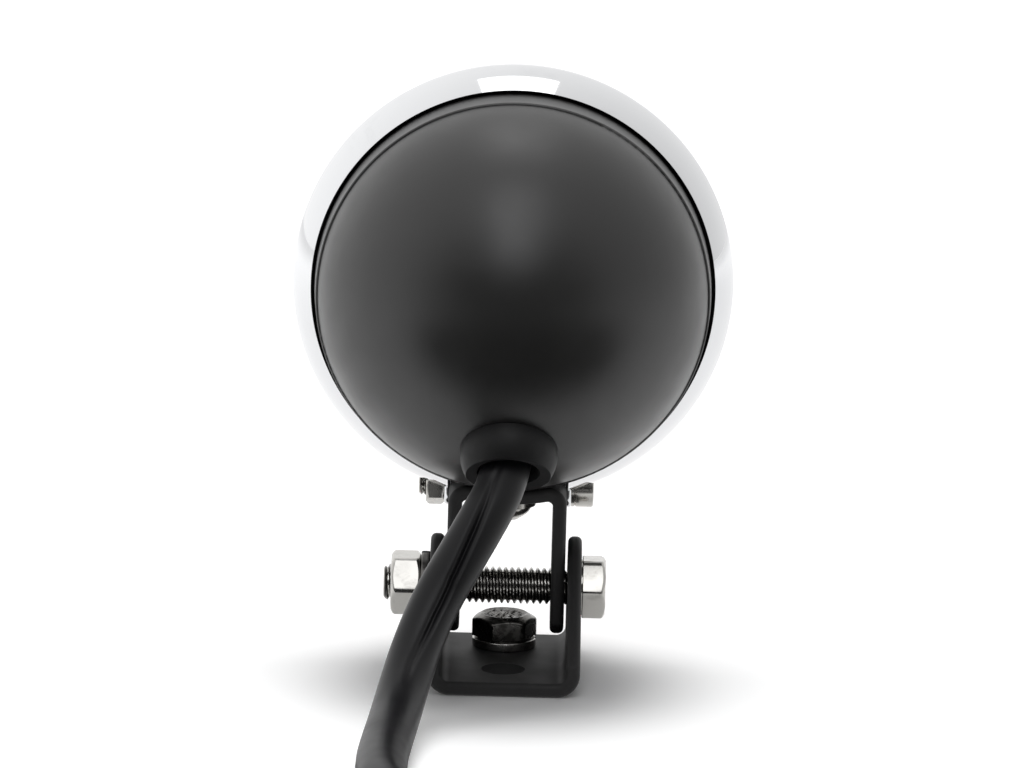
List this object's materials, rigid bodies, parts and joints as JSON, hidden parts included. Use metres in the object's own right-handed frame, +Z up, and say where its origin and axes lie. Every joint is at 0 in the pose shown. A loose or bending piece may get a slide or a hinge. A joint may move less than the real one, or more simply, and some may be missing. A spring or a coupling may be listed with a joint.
{
  "type": "motorcycle tail light",
  "caption": "Round tail light with a black domed shell and chrome trim ring, on a tilting yoke and a bolted U-shaped foot bracket, with a sleeved lead.",
  "frame": {"origin": "where the foot bolt's axis meets the underside of the base plate", "axes": "+Y the way the lens faces, +Z up, X along the tilt bolt"},
  "size_m": [0.112, 0.198, 0.1458],
  "materials": {
    "black_paint": "satin",
    "ring_chrome": "polished",
    "bright_zinc": "bright plated",
    "dark_nickel": "dark plated",
    "dark_spring_steel": "plain",
    "red_lens": "gloss",
    "reflector_mirror": "polished",
    "holder_steel": "plated",
    "cap_brass": "plain",
    "clear_glass": "clear",
    "disc_board": "plain",
    "black_rubber": "matt",
    "black_sleeve": "satin",
    "connector_nylon": "satin"
  },
  "bodies": {
    "base": {"base_bracket": "black_paint", "tilt_bolt": "bright_zinc", "tilt_nut": "bright_zinc", "tilt_lock_washer": "dark_spring_steel", "foot_bolt": "dark_nickel", "foot_lock_washer": "dark_spring_steel", "cable_sleeve": "black_sleeve", "cable_connector": "connector_nylon"},
    "lamp": {"yoke": "black_paint", "rear_shell": "black_paint", "trim_ring": "ring_chrome", "ring_clamp_screw": "bright_zinc", "ring_clamp_nut": "bright_zinc", "shell_screw": "bright_zinc", "shell_screw_washer": "bright_zinc", "shell_nut": "bright_zinc", "lens": "red_lens", "lens_gasket": "black_rubber", "reflector": "reflector_mirror", "bulb_holder": "holder_steel", "bulb_cap": "cap_brass", "bulb_glass": "clear_glass", "contact_disc": "disc_board", "contact_spring": "dark_spring_steel", "cable_grommet": "black_rubber"}
  },
  "joints": [
    {"name": "lamp_tilt", "type": "hinge", "parent": "base", "child": "lamp", "pos_m": [0, -0.0025, 0.0172], "axis": [1, 0, 0], "range_deg": [-30, 30], "deforming": ["cable_sleeve"]}
  ]
}
